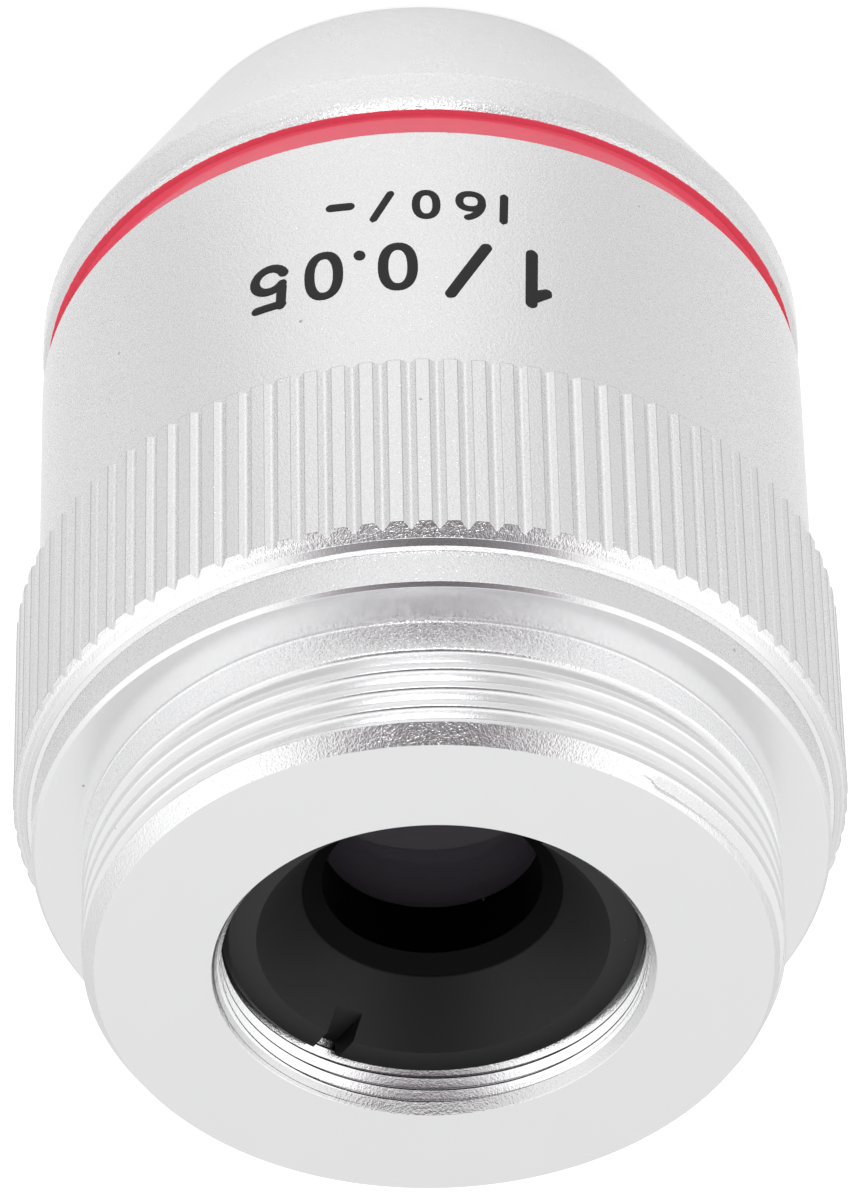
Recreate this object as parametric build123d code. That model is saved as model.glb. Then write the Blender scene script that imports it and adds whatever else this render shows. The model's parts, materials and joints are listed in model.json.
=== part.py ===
from build123d import *
from math import copysign, sqrt
import os

# A one-times microscope objective with its knurled sleeve, nose and two lens groups. Lengths are in
# millimetres and turns in degrees. The origin lies on the optical axis in the plane of the mounting
# shoulder. +Z runs to the thread end, and the objective stands on its nose, at -Z. Back means towards
# the thread, and front means towards the nose.

# Fits
screw_gap = 0.03           # all round, between pieces that screw together
slip_gap = 0.10            # all round, between pieces that slide past each other
lens_gap = 0.03            # all round, between a lens and its cell
overrun = 0.10             # how far a cutter passes the face that it leaves by

# Mounting ring. The thread's size is standard. The radii outside it and in the nose follow from it,
# and those of the back lens group from the bore behind it, by a wall, a step or a fit.
thread_d = 20.24
thread_h = 4.40
thread_lead_w = 0.37
thread_lead_h = 0.57
thread_pitch = 0.7056
thread_depth = 0.40
thread_crest_w = 0.14
thread_neck_h = 1.08       # plain, between the shoulder and the first groove
back_bore_d = 12.24
mouth_bevel = 0.27
shoulder_w = 1.35
collar_h = 1.53
collar_edge_w = 0.13
collar_edge_h = 0.09
collar_foot = 0.13
seat_w = 1.52
seat_flange_h = 0.80
spigot_wall = 1.70
tube_thread_h = 2.70

# Knurled sleeve
knurl_step = 0.55          # the knurl stands out past the collar
knurl_h = 6.81
knurl_edge_w = 0.30
knurl_edge_h = 0.44
knurl_rise = 0.65          # the knurl stands out past the barrel
groove_count = 94
groove_depth = 0.15
groove_mouth_w = 0.45
groove_turn = -92.1
barrel_h = 9.96
sleeve_wall = 1.17

# Nose cone and the coloured band behind it
nose_thread_h = 3.00
band_inset = 0.43
band_h = 1.08
nose_rim_w = 0.25
nose_rim_h = 0.32
nose_land_h = 1.42
nose_taper_h = 6.90
nose_tip_w = 1.17
nose_tip_edge = 0.15

# Slotted ring that holds the back lens group
ring_recess = 1.28
ring_thread_h = 1.82
ring_edge = 0.20
ring_face_w = 0.99
ring_lip_w = 0.55
ring_lip_h = 0.40
ring_nose_h = 2.15
ring_nose_wall = 1.34
slot_w = 0.87
slot_depth = 0.70
slot_turn = 57.0

# Back lens group and its cell
back_cell_wall = 1.45
back_cell_floor_h = 0.60
back_cell_lip_gap = 0.30
crown_back_curve = 22.0
crown_h = 1.90
cement_curve = 16.0
flint_h = 0.60
back_spacer_h = 1.00
back_spacer_wall = 0.58
middle_curve = 18.0
middle_edge_h = 0.90
stop_h = 0.20
stop_w = 1.71

# Lens tube, the shim that sets its height and the screw that locks it
tube_wall = 2.14
shim_h = 0.15
tube_nose_gap = 0.40
lock_screw_d = 1.40
lock_screw_recess = 0.20
lock_socket_d = 0.70
lock_socket_depth = 0.60
lock_turn = 20.0

# Front lens group and its cell
front_recess = 0.40
front_thread_h = 2.40
front_seat_h = 1.20
front_seat_w = 1.20
front_cell_wall = 0.80
front_flint_curve = 24.0
front_flint_h = 0.80
front_cement_curve = 20.0
front_crown_h = 2.00
front_spacer_h = 0.50
front_spacer_wall = 0.60
negative_curve = 18.0
negative_h = 0.80
front_ring_h = 0.78
front_ring_wall = 1.00
front_slot_w = 0.80
front_slot_depth = 0.35


def sag(curve, radius):
    """Depth of a spherical surface at a radius. A flat has no curve, and a hollow one is negative."""
    if curve is None:
        return 0
    return curve - copysign(sqrt(curve * curve - radius * radius), curve)


# Radii of the outer pieces, from the thread out to the knurl and back in to the nose
thread_r = thread_d / 2
collar_r = thread_r + shoulder_w + collar_edge_w
knurl_r = collar_r + knurl_step
barrel_r = knurl_r - knurl_rise
sleeve_bore_r = barrel_r - sleeve_wall
spigot_r = sleeve_bore_r - screw_gap
band_r = barrel_r - band_inset
tube_thread_r = spigot_r - spigot_wall
tube_r = tube_thread_r - screw_gap
tube_bore_r = tube_r - tube_wall

# Radii of the back group, from the mounting ring in to the light
back_bore_r = back_bore_d / 2
back_cell_r = back_bore_r - screw_gap
back_cell_bore_r = back_cell_r - back_cell_wall
back_lens_r = back_cell_bore_r - lens_gap
ring_nose_r = back_cell_bore_r - slip_gap
light_r = ring_nose_r - ring_nose_wall
stop_hole_r = back_lens_r - stop_w

# Radii of the front group and the nose
front_cell_r = tube_bore_r - screw_gap
front_cell_bore_r = front_cell_r - front_cell_wall
front_lens_r = front_cell_bore_r - lens_gap
nose_bore_r = front_cell_r + slip_gap
nose_tip_r = nose_bore_r + nose_tip_w

# Heights of the back group, from the slotted ring down to the end of the mounting ring
ring_face = thread_h - ring_recess
ring_thread_end = ring_face - ring_thread_h
ring_end = ring_thread_end - ring_nose_h
crown_back = ring_end + sag(crown_back_curve, light_r)
cement = crown_back - crown_h
flint_front = cement - flint_h
back_spacer_front = flint_front - back_spacer_h
back_spacer_bore_r = back_lens_r - back_spacer_wall
middle_back = back_spacer_front + sag(middle_curve, back_spacer_bore_r)
middle_front = middle_back - sag(middle_curve, back_lens_r) - middle_edge_h
stop_front = middle_front - stop_h
back_cell_end = stop_front - back_cell_floor_h
seat_end = back_cell_end - seat_flange_h
mount_end = seat_end - tube_thread_h

# Heights of the outer pieces, from the collar down to the nose
sleeve_top = -collar_h
knurl_end = sleeve_top - knurl_h
sleeve_end = knurl_end - barrel_h
nose_top = sleeve_end + nose_thread_h
band_end = sleeve_end - band_h
land_end = band_end - nose_land_h
nose_end = land_end - nose_taper_h

# Heights of the front group, from the nose up to the lens tube
front_cell_end = nose_end + front_recess
negative_front = front_cell_end + front_ring_h
negative_back = negative_front + negative_h
front_spacer_front = negative_back + sag(negative_curve, front_lens_r)
front_crown_front = front_spacer_front + front_spacer_h
front_cement = front_crown_front + front_crown_h
front_flint_back = front_cement + front_flint_h
front_seat = front_flint_back + sag(front_flint_curve, front_lens_r)
tube_top = seat_end - shim_h
tube_end = nose_top + tube_nose_gap
front_cell_top = tube_end + front_thread_h


def turned(*section):
    """A piece turned about the optical axis, from the corners of its half section, as (radius, height)."""
    outline = Polyline([(radius, 0, height) for radius, height in section], close=True)
    return revolve(make_face(outline), Axis.Z)


def tube(inner, outer, low, high):
    """A plain ring between two radii and two heights."""
    return turned((inner, low), (outer, low), (outer, high), (inner, high))


def lens(radius, back, back_curve, front, front_curve):
    """A lens from the heights of its two faces on the axis and the curves of the faces.

    Each curved face is cut with a ball. The ball lies on its side, so that no pole falls on the lens.
    """
    high = back if back_curve is None else max(back, back - sag(back_curve, radius)) + overrun
    low = front if front_curve is None else min(front, front + sag(front_curve, radius)) - overrun
    glass = Pos(0, 0, low) * Cylinder(radius, high - low, align=(Align.CENTER, Align.CENTER, Align.MIN))
    for vertex, curve, side in ((back, back_curve, 1), (front, front_curve, -1)):
        if curve is None:
            continue
        ball = Pos(0, 0, vertex - side * curve) * Rot(90, 0, 0) * Sphere(abs(curve))
        glass = glass & ball if curve > 0 else glass - ball
    return glass


def slots(width, reach, low, high, turn):
    """A bar across the axis that cuts a pair of spanner slots."""
    return Pos(0, 0, (low + high) / 2) * Rot(0, 0, turn) * Box(2 * reach, width, high - low)


def thread_grooves():
    """Corners of the mounting thread's grooves, from the lead down to the neck, each a ring of its own."""
    mouth = thread_pitch - thread_crest_w
    room = thread_h - thread_lead_h - thread_neck_h
    corners = []
    for step in reversed(range(int((room + thread_crest_w) / thread_pitch))):
        foot = thread_neck_h + step * thread_pitch
        corners += [(thread_r, foot + mouth), (thread_r - thread_depth, foot + mouth / 2), (thread_r, foot)]
    return corners


def mount_ring():
    """The ring with the mounting thread, the shoulder, the collar and a spigot inside the sleeve."""
    ring = turned(
        (back_bore_r + mouth_bevel, thread_h),
        (thread_r - thread_lead_w, thread_h),
        (thread_r, thread_h - thread_lead_h),
        *thread_grooves(),
        (thread_r, 0),
        (collar_r - collar_edge_w, 0),
        (collar_r, -collar_edge_h),
        (collar_r, sleeve_top + collar_foot),
        (collar_r + collar_foot, sleeve_top),
        (spigot_r, sleeve_top),
        (spigot_r, mount_end),
        (tube_thread_r, mount_end),
        (tube_thread_r, seat_end),
        (back_bore_r - seat_w, seat_end),
        (back_bore_r - seat_w, back_cell_end),
        (back_bore_r, back_cell_end),
        (back_bore_r, thread_h - mouth_bevel),
    )
    hole = Cylinder(lock_screw_d / 2 + screw_gap, spigot_r, align=(Align.CENTER, Align.CENTER, Align.MIN))
    return ring - lock_screw_place() * hole


def lock_screw_place():
    """Where the lock screw starts: on the axis, half way down the tube's thread, pointing outwards."""
    return Pos(0, 0, (seat_end + mount_end) / 2) * Rot(0, 0, lock_turn) * Rot(0, 90, 0)


def lock_screw():
    """The socket screw that stops the lens tube from turning in the mounting ring."""
    length = spigot_wall - lock_screw_recess
    rod = Cylinder(lock_screw_d / 2, length, align=(Align.CENTER, Align.CENTER, Align.MIN))
    socket = extrude(RegularPolygon(lock_socket_d / 2, 6), lock_socket_depth + overrun)
    screw = rod - Pos(0, 0, length - lock_socket_depth) * socket
    return lock_screw_place() * Pos(0, 0, tube_thread_r) * screw


def knurl_grooves():
    """The straight grooves that the knurl is cut with, all round."""
    half_w = groove_mouth_w / 2 * (1 + overrun / groove_depth)
    groove = make_face(Polyline(
        (knurl_r - groove_depth, 0),
        (knurl_r + overrun, -half_w),
        (knurl_r + overrun, half_w),
        close=True,
    ))
    cutter = Pos(0, 0, knurl_end - overrun) * extrude(groove, knurl_h + 2 * overrun)
    pitch = 360 / groove_count
    return [Rot(0, 0, groove_turn + pitch * number) * cutter for number in range(groove_count)]


def barrel_sleeve():
    """The knurled sleeve that screws over the mounting ring's spigot and carries the nose."""
    blank = turned(
        (sleeve_bore_r, sleeve_top),
        (knurl_r - knurl_edge_w, sleeve_top),
        (knurl_r, sleeve_top - knurl_edge_h),
        (knurl_r, knurl_end),
        (barrel_r, knurl_end),
        (barrel_r, sleeve_end),
        (sleeve_bore_r, sleeve_end),
    )
    return blank - knurl_grooves()


def nose_cone():
    """The nose: a spigot in the sleeve, a bevelled rim in front of the band, a land and the taper."""
    slope = (barrel_r - nose_tip_r) / nose_taper_h
    return turned(
        (nose_bore_r, nose_top),
        (spigot_r, nose_top),
        (spigot_r, band_end),
        (barrel_r - nose_rim_w, band_end),
        (barrel_r, band_end - nose_rim_h),
        (barrel_r, land_end),
        (nose_tip_r + slope * nose_tip_edge, nose_end + nose_tip_edge),
        (nose_tip_r - nose_tip_edge, nose_end),
        (nose_bore_r, nose_end),
    )


def colour_band():
    """The coloured ring on the nose's spigot, held between the sleeve and the nose's rim."""
    return tube(sleeve_bore_r, band_r, band_end, sleeve_end)


def back_ring():
    """The slotted ring with the funnel mouth, which screws in behind the lenses and presses on them."""
    outer = back_cell_r
    ring = turned(
        (outer - ring_face_w, ring_face),
        (outer - ring_edge, ring_face),
        (outer, ring_face - ring_edge),
        (outer, ring_thread_end),
        (ring_nose_r, ring_thread_end),
        (ring_nose_r, ring_end),
        (light_r, ring_end),
        (light_r, ring_thread_end - ring_lip_h),
        (light_r + ring_lip_w, ring_thread_end),
    )
    return ring - slots(slot_w, outer + overrun, ring_face - slot_depth, ring_face + overrun, slot_turn)


def back_cell():
    """The cup in the mounting ring that holds the back lenses."""
    cell_top = ring_thread_end - back_cell_lip_gap
    return turned(
        (back_cell_bore_r, cell_top),
        (back_cell_r, cell_top),
        (back_cell_r, back_cell_end),
        (stop_hole_r + slip_gap, back_cell_end),
        (stop_hole_r + slip_gap, stop_front),
        (back_cell_bore_r, stop_front),
    )


def back_crown_lens():
    """The outer half of the cemented pair, seen at the bottom of the funnel."""
    return lens(back_lens_r, crown_back, crown_back_curve, cement, cement_curve)


def back_flint_lens():
    """The inner half of the cemented pair."""
    return lens(back_lens_r, cement, -cement_curve, flint_front, None)


def back_spacer():
    """The ring between the cemented pair and the middle lens."""
    return tube(back_spacer_bore_r, back_lens_r, back_spacer_front, flint_front)


def middle_lens():
    """The single lens at the bottom of the back cell."""
    return lens(back_lens_r, middle_back, middle_curve, middle_front, None)


def aperture_stop():
    """The thin disc that limits the beam."""
    return tube(stop_hole_r, back_lens_r, stop_front, middle_front)


def parfocal_shim():
    """The thin ring on top of the lens tube that sets the focus height."""
    return tube(front_cell_r, tube_thread_r - slip_gap, tube_top, seat_end)


def lens_tube():
    """The inner tube that screws into the mounting ring and carries the front cell."""
    return tube(tube_bore_r, tube_r, tube_end, tube_top)


def front_cell():
    """The long cup that holds the front lenses in the nose, screwed into the lens tube."""
    return turned(
        (front_cell_bore_r, front_cell_top),
        (front_cell_r, front_cell_top),
        (front_cell_r, front_cell_end),
        (front_cell_bore_r, front_cell_end),
        (front_cell_bore_r, front_seat),
        (front_cell_bore_r - front_seat_w, front_seat),
        (front_cell_bore_r - front_seat_w, front_seat + front_seat_h),
        (front_cell_bore_r, front_seat + front_seat_h),
    )


def front_flint_lens():
    """The hollow half of the front cemented pair, against the cell's seat."""
    return lens(front_lens_r, front_flint_back, -front_flint_curve, front_cement, -front_cement_curve)


def front_crown_lens():
    """The full half of the front cemented pair."""
    return lens(front_lens_r, front_cement, front_cement_curve, front_crown_front, None)


def front_spacer():
    """The ring between the front pair and the front lens."""
    inner = front_lens_r - front_spacer_wall
    return tube(inner, front_lens_r, front_spacer_front, front_crown_front)


def front_negative_lens():
    """The hollow lens nearest to the specimen."""
    return lens(front_lens_r, negative_back, -negative_curve, negative_front, None)


def front_ring():
    """The slotted ring that holds the front lenses in their cell."""
    outer = front_cell_bore_r - screw_gap
    ring = tube(outer - front_ring_wall, outer, front_cell_end, negative_front)
    low = front_cell_end - overrun
    return ring - slots(front_slot_w, outer + overrun, low, front_cell_end + front_slot_depth, 0)


pieces = {
    "mount_ring": mount_ring,
    "barrel_sleeve": barrel_sleeve,
    "nose_cone": nose_cone,
    "colour_band": colour_band,
    "back_ring": back_ring,
    "back_cell": back_cell,
    "back_crown_lens": back_crown_lens,
    "back_flint_lens": back_flint_lens,
    "back_spacer": back_spacer,
    "middle_lens": middle_lens,
    "aperture_stop": aperture_stop,
    "parfocal_shim": parfocal_shim,
    "lens_tube": lens_tube,
    "lock_screw": lock_screw,
    "front_cell": front_cell,
    "front_flint_lens": front_flint_lens,
    "front_crown_lens": front_crown_lens,
    "front_spacer": front_spacer,
    "front_negative_lens": front_negative_lens,
    "front_ring": front_ring,
}

os.makedirs("parts", exist_ok=True)
for name, make in pieces.items():
    export_step(make(), f"parts/{name}.step")
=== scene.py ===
"""A low-power microscope objective, standing on its nose: threads, knurl, band, figures and finishes.

Sizes are in metres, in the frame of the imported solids: the optical axis is Z, the plane of the mounting
shoulder is at zero, and the thread end is up. The side that faces -Y is the front.
"""
import json
import math

import bmesh
import bpy
import numpy as np
from bpy.props import FloatProperty, FloatVectorProperty, IntProperty, PointerProperty
from bpy.types import Operator, Panel, PropertyGroup
from mathutils import Matrix, Vector


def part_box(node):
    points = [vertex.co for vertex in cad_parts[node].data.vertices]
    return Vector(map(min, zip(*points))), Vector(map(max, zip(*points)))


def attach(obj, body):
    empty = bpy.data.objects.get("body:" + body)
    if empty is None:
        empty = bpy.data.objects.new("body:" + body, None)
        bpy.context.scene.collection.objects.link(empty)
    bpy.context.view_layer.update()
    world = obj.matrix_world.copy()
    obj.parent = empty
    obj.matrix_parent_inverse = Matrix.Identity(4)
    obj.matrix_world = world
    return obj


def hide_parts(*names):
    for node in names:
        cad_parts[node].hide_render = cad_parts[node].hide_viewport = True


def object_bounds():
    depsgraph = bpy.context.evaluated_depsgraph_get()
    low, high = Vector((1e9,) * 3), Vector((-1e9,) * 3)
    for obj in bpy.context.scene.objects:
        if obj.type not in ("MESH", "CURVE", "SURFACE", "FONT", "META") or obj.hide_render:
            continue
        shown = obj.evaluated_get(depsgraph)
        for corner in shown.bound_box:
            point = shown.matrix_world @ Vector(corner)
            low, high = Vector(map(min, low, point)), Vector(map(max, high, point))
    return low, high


bl_info = {
    "name": "Microscope Objective",
    "version": (1, 0, 0),
    "blender": (4, 5, 0),
    "location": "View3D > Sidebar > Objective",
    "description": "Threads, knurls, marks and finishes a microscope objective around its solids",
    "category": "Object",
}

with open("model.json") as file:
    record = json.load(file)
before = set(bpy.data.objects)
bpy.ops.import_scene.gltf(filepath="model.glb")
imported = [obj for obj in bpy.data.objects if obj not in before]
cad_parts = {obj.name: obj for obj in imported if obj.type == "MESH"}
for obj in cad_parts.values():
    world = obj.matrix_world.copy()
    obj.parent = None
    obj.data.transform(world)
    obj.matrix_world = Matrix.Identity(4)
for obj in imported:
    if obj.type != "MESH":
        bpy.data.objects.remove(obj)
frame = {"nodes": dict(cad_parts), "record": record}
solids_low, solids_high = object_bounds()

MM = 0.001
MERGE = 1e-7
SHARP = math.radians(32)
TURN = 2 * math.pi
FRONT = -TURN / 4
BACK = TURN / 4
BROKEN_EDGE = 0.03 * MM

mount_low, mount_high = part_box("mount_ring")
sleeve_low, sleeve_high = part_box("barrel_sleeve")
nose_low, nose_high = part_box("nose_cone")
band_low, band_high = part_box("colour_band")
ring_low, ring_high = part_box("back_ring")
crown_low, crown_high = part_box("back_crown_lens")
interfaces = {mount["name"]: mount for mount in frame["record"]["mounts"]}
thread_r = interfaces["mounting_thread"]["dims"]["r_mm"] * MM
thread_h = interfaces["mounting_thread"]["dims"]["length_mm"] * MM
knurl_r = sleeve_high.y
foot_r = mount_high.y
barrel_r = nose_high.y


def length(name, description, size):
    """A length that a user may change, with its default in millimetres."""
    return FloatProperty(name=name, description=description, default=size * MM, subtype="DISTANCE", unit="LENGTH")


def turning(name, description, degrees):
    """An angle that a user may change, with its default in degrees."""
    return FloatProperty(name=name, description=description, default=math.radians(degrees), subtype="ANGLE")


def colour(name, description, *rgb):
    """A colour that a user may change."""
    return FloatVectorProperty(name=name, description=description, default=rgb, subtype="COLOR", min=0, max=1)


def share(name, description, value):
    """A plain share from nothing to all."""
    return FloatProperty(name=name, description=description, default=value, subtype="FACTOR", min=0, max=1)


class ObjectiveMount(PropertyGroup):
    """Sizes of the mounting end."""

    pitch: length("Thread pitch", "Rise of the mounting thread in one turn", 0.7056)
    depth: length("Thread depth", "Depth of the mounting thread's grooves before their roots are rounded", 0.40)
    crest: length("Thread crest", "Width of the mounting thread's crest before its corners are rounded", 0.28)
    corner: length("Thread corner", "Radius on the corners of that crest", 0.15)
    root_round: length("Thread root", "Radius in the bottom of the grooves", 0.05)
    first_root: length("First root", "Height of the lowest groove above the shoulder, at the front", 1.363)
    thread_start: length("Thread start", "Groove height where the thread begins to bite", 1.02)
    thread_full: length("Thread full", "Groove height where the thread has its full depth", 1.22)
    thread_end: length("Thread end", "Groove height where the thread stops on the lead bevel", 4.105)
    end_fade: length("End fade", "Rise over which the thread's end runs out", 0.010)
    lead_w: length("Lead width", "Radial width of the lead bevel", 0.37)
    crevice_h: length("Crevice", "Height of the undercut where the neck meets the shoulder", 0.10)
    crevice_depth: length("Crevice depth", "Depth of that undercut", 0.07)
    collar_r: length("Collar radius", "Radius of the plain collar", 11.60)
    edge_w: length("Edge width", "Radial width of the shoulder's edge bevel", 0.11)
    edge_h: length("Edge height", "Height of the shoulder's edge bevel", 0.13)
    foot_h: length("Foot height", "Height of the flare at the collar's foot", 0.08)
    spigot_r: length("Spigot radius", "Radius of the spigot inside the sleeve", 10.30)
    tube_thread_r: length("Tube bore radius", "Bore that the lens tube screws into", 8.60)
    tube_thread_h: length("Tube bore depth", "Depth of that bore", 2.70)
    seat_r: length("Seat radius", "Hole in the flange under the lens cell", 4.60)
    seat_h: length("Seat height", "Height of that flange", 0.80)
    bore_r: length("Bore radius", "Bore behind the slotted ring", 6.12)
    mouth_bevel: length("Mouth bevel", "Bevel at the mouth of the bore", 0.27)
    inner_pitch: length("Inner pitch", "Rise of the thread in the bore in one turn", 0.45)
    inner_depth: length("Inner depth", "Depth of the grooves in the bore before their roots are rounded", 0.20)
    inner_crest: length("Inner crest", "Width of its crest before its corners are rounded", 0.06)
    inner_round: length("Inner rounding", "Radius on its corners and in its roots", 0.02)
    inner_root: length("Inner root", "Height of one of its grooves, at the back", 3.22)
    inner_start: length("Inner start", "Height above the shoulder where it begins", 1.3)
    neck_h: length("Neck", "Height of the plain neck's lower part, which no groove crosses", 0.30)


class ObjectiveSleeve(PropertyGroup):
    """Sizes of the knurled sleeve."""

    grooves: IntProperty(name="Grooves", description="Straight grooves round the knurl", default=94, min=12)
    groove_w: length("Groove width", "Width of a groove at its mouth", 0.44)
    groove_depth: length("Groove depth", "Crest to root of a groove", 0.15)
    groove_turn: turning("Groove turn", "Angle of one groove about the axis", -92.1)
    crest_round: length("Crest rounding", "Radius on the corners of a crest", 0.05)
    root_round: length("Root rounding", "Radius in the bottom of a groove", 0.06)
    edge_w: length("Edge width", "Radial width of the bevel at the thread end", 0.30)
    edge_h: length("Edge height", "Height of that bevel", 0.44)
    lip_h: length("Lip height", "Height of the smooth lip that carries the bevel on to the collar", 0.17)
    knurl_h: length("Knurl height", "Height of the knurled part", 6.81)
    bore_r: length("Bore radius", "Bore that screws over the mounting end", 10.33)


class ObjectiveNose(PropertyGroup):
    """Sizes of the nose and the band."""

    spigot_r: length("Spigot radius", "Radius of the spigot inside the sleeve", 10.30)
    rim_w: length("Rim width", "Radial width of the rounded rim in front of the band", 0.16)
    rim_h: length("Rim height", "Height of that rim", 0.32)
    rim_round: length("Rim rounding", "Radius that joins the rim to the land", 1.00)
    land_h: length("Land height", "Height of the plain part and its bevel", 1.42)
    land_round: length("Land rounding", "Radius where the taper begins", 0.50)
    tip_r: length("Tip radius", "Radius of the taper's small end", 7.67)
    tip_round: length("Tip rounding", "Radius on the edge of the nose face", 0.22)
    bore_r: length("Bore radius", "Bore of the nose", 6.50)
    paint_h: length("Paint height", "How far the band's paint covers the rim", 0.03)
    hollow: length("Band hollow", "How far the enamel dips between the band's edges", 0.055)


class ObjectiveFigures(PropertyGroup):
    """Sizes of the figures on the barrel."""

    large_w: length("Large stroke", "Width of the large figures' strokes", 0.34)
    small_w: length("Small stroke", "Width of the small figures' strokes", 0.27)
    large_top: length("Large top", "Height of the large digits' tops", -11.90)
    large_h: length("Large height", "Height of the large digits", 1.66)
    small_top: length("Small top", "Height of the small digits' tops", -14.76)
    small_h: length("Small height", "Height of the small digits", 0.98)
    relief: length("Relief", "How far the paint stands out of the barrel", 0.012)


class ObjectiveFinish(PropertyGroup):
    """Colours and grain of the finishes."""

    chrome: colour("Chrome", "Satin chrome of the outer pieces", 0.83, 0.83, 0.835)
    enamel: colour("Enamel", "Red of the band", 0.92, 0.090, 0.150)
    black: colour("Black", "Anodised black inside", 0.011, 0.011, 0.012)
    paint: colour("Paint", "Charcoal of the figures", 0.008, 0.008, 0.009)
    coating: colour("Lens coating", "Tint of the light in the glass", 0.26, 0.23, 0.28)
    grain: length("Grain", "Size of the chrome's blasted grain", 0.085)
    grain_depth: length("Grain depth", "Depth of that grain", 0.030)
    satin: share("Satin", "Roughness of the chrome between its grains", 0.20)
    dust_gap: length("Dust gap", "Size of the cells that may hold a speck of dust", 1.1)


class ObjectiveStage(PropertyGroup):
    """Floor, light and camera."""

    view_down: turning("View down", "How far the camera looks down", 42.891)
    view_roll: turning("View roll", "How far the camera is rolled about its view", 178.728)
    camera_back: length("Camera back", "Distance of the camera in front of the axis", 197.43)
    camera_up: length("Camera up", "Height of the camera above the shoulder", 173.23)
    lens: FloatProperty(name="Lens", description="Focal length in millimetres", default=271.9)
    sky: FloatProperty(name="Sky", description="Strength of the even light", default=1.0)
    lamp: FloatProperty(name="Front lamp", description="Power of the soft lamp in front, in watts", default=0.045)
    floor: share("Floor", "Grey of the floor", 0.74)


class ObjectiveSettings(PropertyGroup):
    """Everything that a user may change."""

    mount: PointerProperty(type=ObjectiveMount)
    sleeve: PointerProperty(type=ObjectiveSleeve)
    nose: PointerProperty(type=ObjectiveNose)
    figures: PointerProperty(type=ObjectiveFigures)
    finish: PointerProperty(type=ObjectiveFinish)
    stage: PointerProperty(type=ObjectiveStage)


def settings():
    """The sizes and colours as they are set in the scene."""
    return bpy.context.scene.objective


class Socket:
    """A socket in a node tree, so that node maths reads as plain sums."""

    def __init__(self, tree, link=None):
        self.tree = tree
        self.link = link

    def node(self, kind, values=None, output=0, **fields):
        """Adds a node: its settings first, then the values or links of its sockets. Gives one output."""
        made = self.tree.nodes.new(kind)
        for field, value in fields.items():
            setattr(made, field, value)
        for key, value in (values or {}).items():
            target = made.inputs[key]
            if isinstance(value, Socket):
                self.tree.links.new(value.link, target)
            else:
                target.default_value = value
        return Socket(self.tree, made.outputs[output] if made.outputs else None)

    def math(self, operation, *others):
        """A sum with this socket first."""
        return self.node("ShaderNodeMath", dict(enumerate((self, *others))), operation=operation)

    def __add__(self, other):
        return self.math("ADD", other)

    __radd__ = __add__

    def __sub__(self, other):
        return self.math("SUBTRACT", other)

    def __rsub__(self, other):
        return (self * -1) + other

    def __mul__(self, other):
        return self.math("MULTIPLY", other)

    __rmul__ = __mul__

    def __truediv__(self, other):
        return self.math("DIVIDE", other)

    def between(self, low, high):
        """From nothing at one value to one at another, smoothly."""
        values = {"Value": self, "From Min": low, "From Max": high}
        return self.node("ShaderNodeMapRange", values, interpolation_type="SMOOTHSTEP")

    def axes(self):
        """The three parts of a vector."""
        return [self.node("ShaderNodeSeparateXYZ", {0: self}, output=part) for part in range(3)]

    def height(self):
        """Height of a place above the mounting shoulder."""
        return self.axes()[2]

    def radius(self):
        """Distance of a place from the optical axis."""
        across, deep, _ = self.axes()
        return (across * across + deep * deep).math("SQRT")

    def mix(self, first, second):
        """Two colours mixed by this mask."""
        return self.node("ShaderNodeMix", {0: self, 6: first, 7: second}, output=2, data_type="RGBA")


def opaque(rgb, gain=1.0):
    """A colour, made lighter or darker, as the four numbers that a socket takes."""
    return (*(min(1, part * gain) for part in rgb), 1)


def grey(level):
    """A grey as the four numbers that a socket takes."""
    return (level, level, level, 1)


def new_material(name):
    """An empty material, and a socket to build it from."""
    material = bpy.data.materials.new(name)
    material.use_nodes = True
    material.node_tree.nodes.clear()
    return material, Socket(material.node_tree)


def surface(start, values):
    """Ends a material in a Principled shader."""
    shader = start.node("ShaderNodeBsdfPrincipled", values)
    start.node("ShaderNodeOutputMaterial", {"Surface": shader})


def noise(start, place, size, detail=2.0):
    """Soft noise whose lumps are about one size."""
    return start.node("ShaderNodeTexNoise", {"Vector": place, "Scale": 1 / size, "Detail": detail})


def specks(start, place, gap, part):
    """Small specks of dust, in a part of the cells of a loose lattice."""
    cells = {"Vector": place, "Scale": 1 / gap}
    near = start.node("ShaderNodeTexVoronoi", cells, output="Distance")
    lot = start.node("ShaderNodeTexVoronoi", cells, output="Color").axes()[0]
    return (1 - near.between(0.03, 0.06)) * lot.math("LESS_THAN", part)


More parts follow.
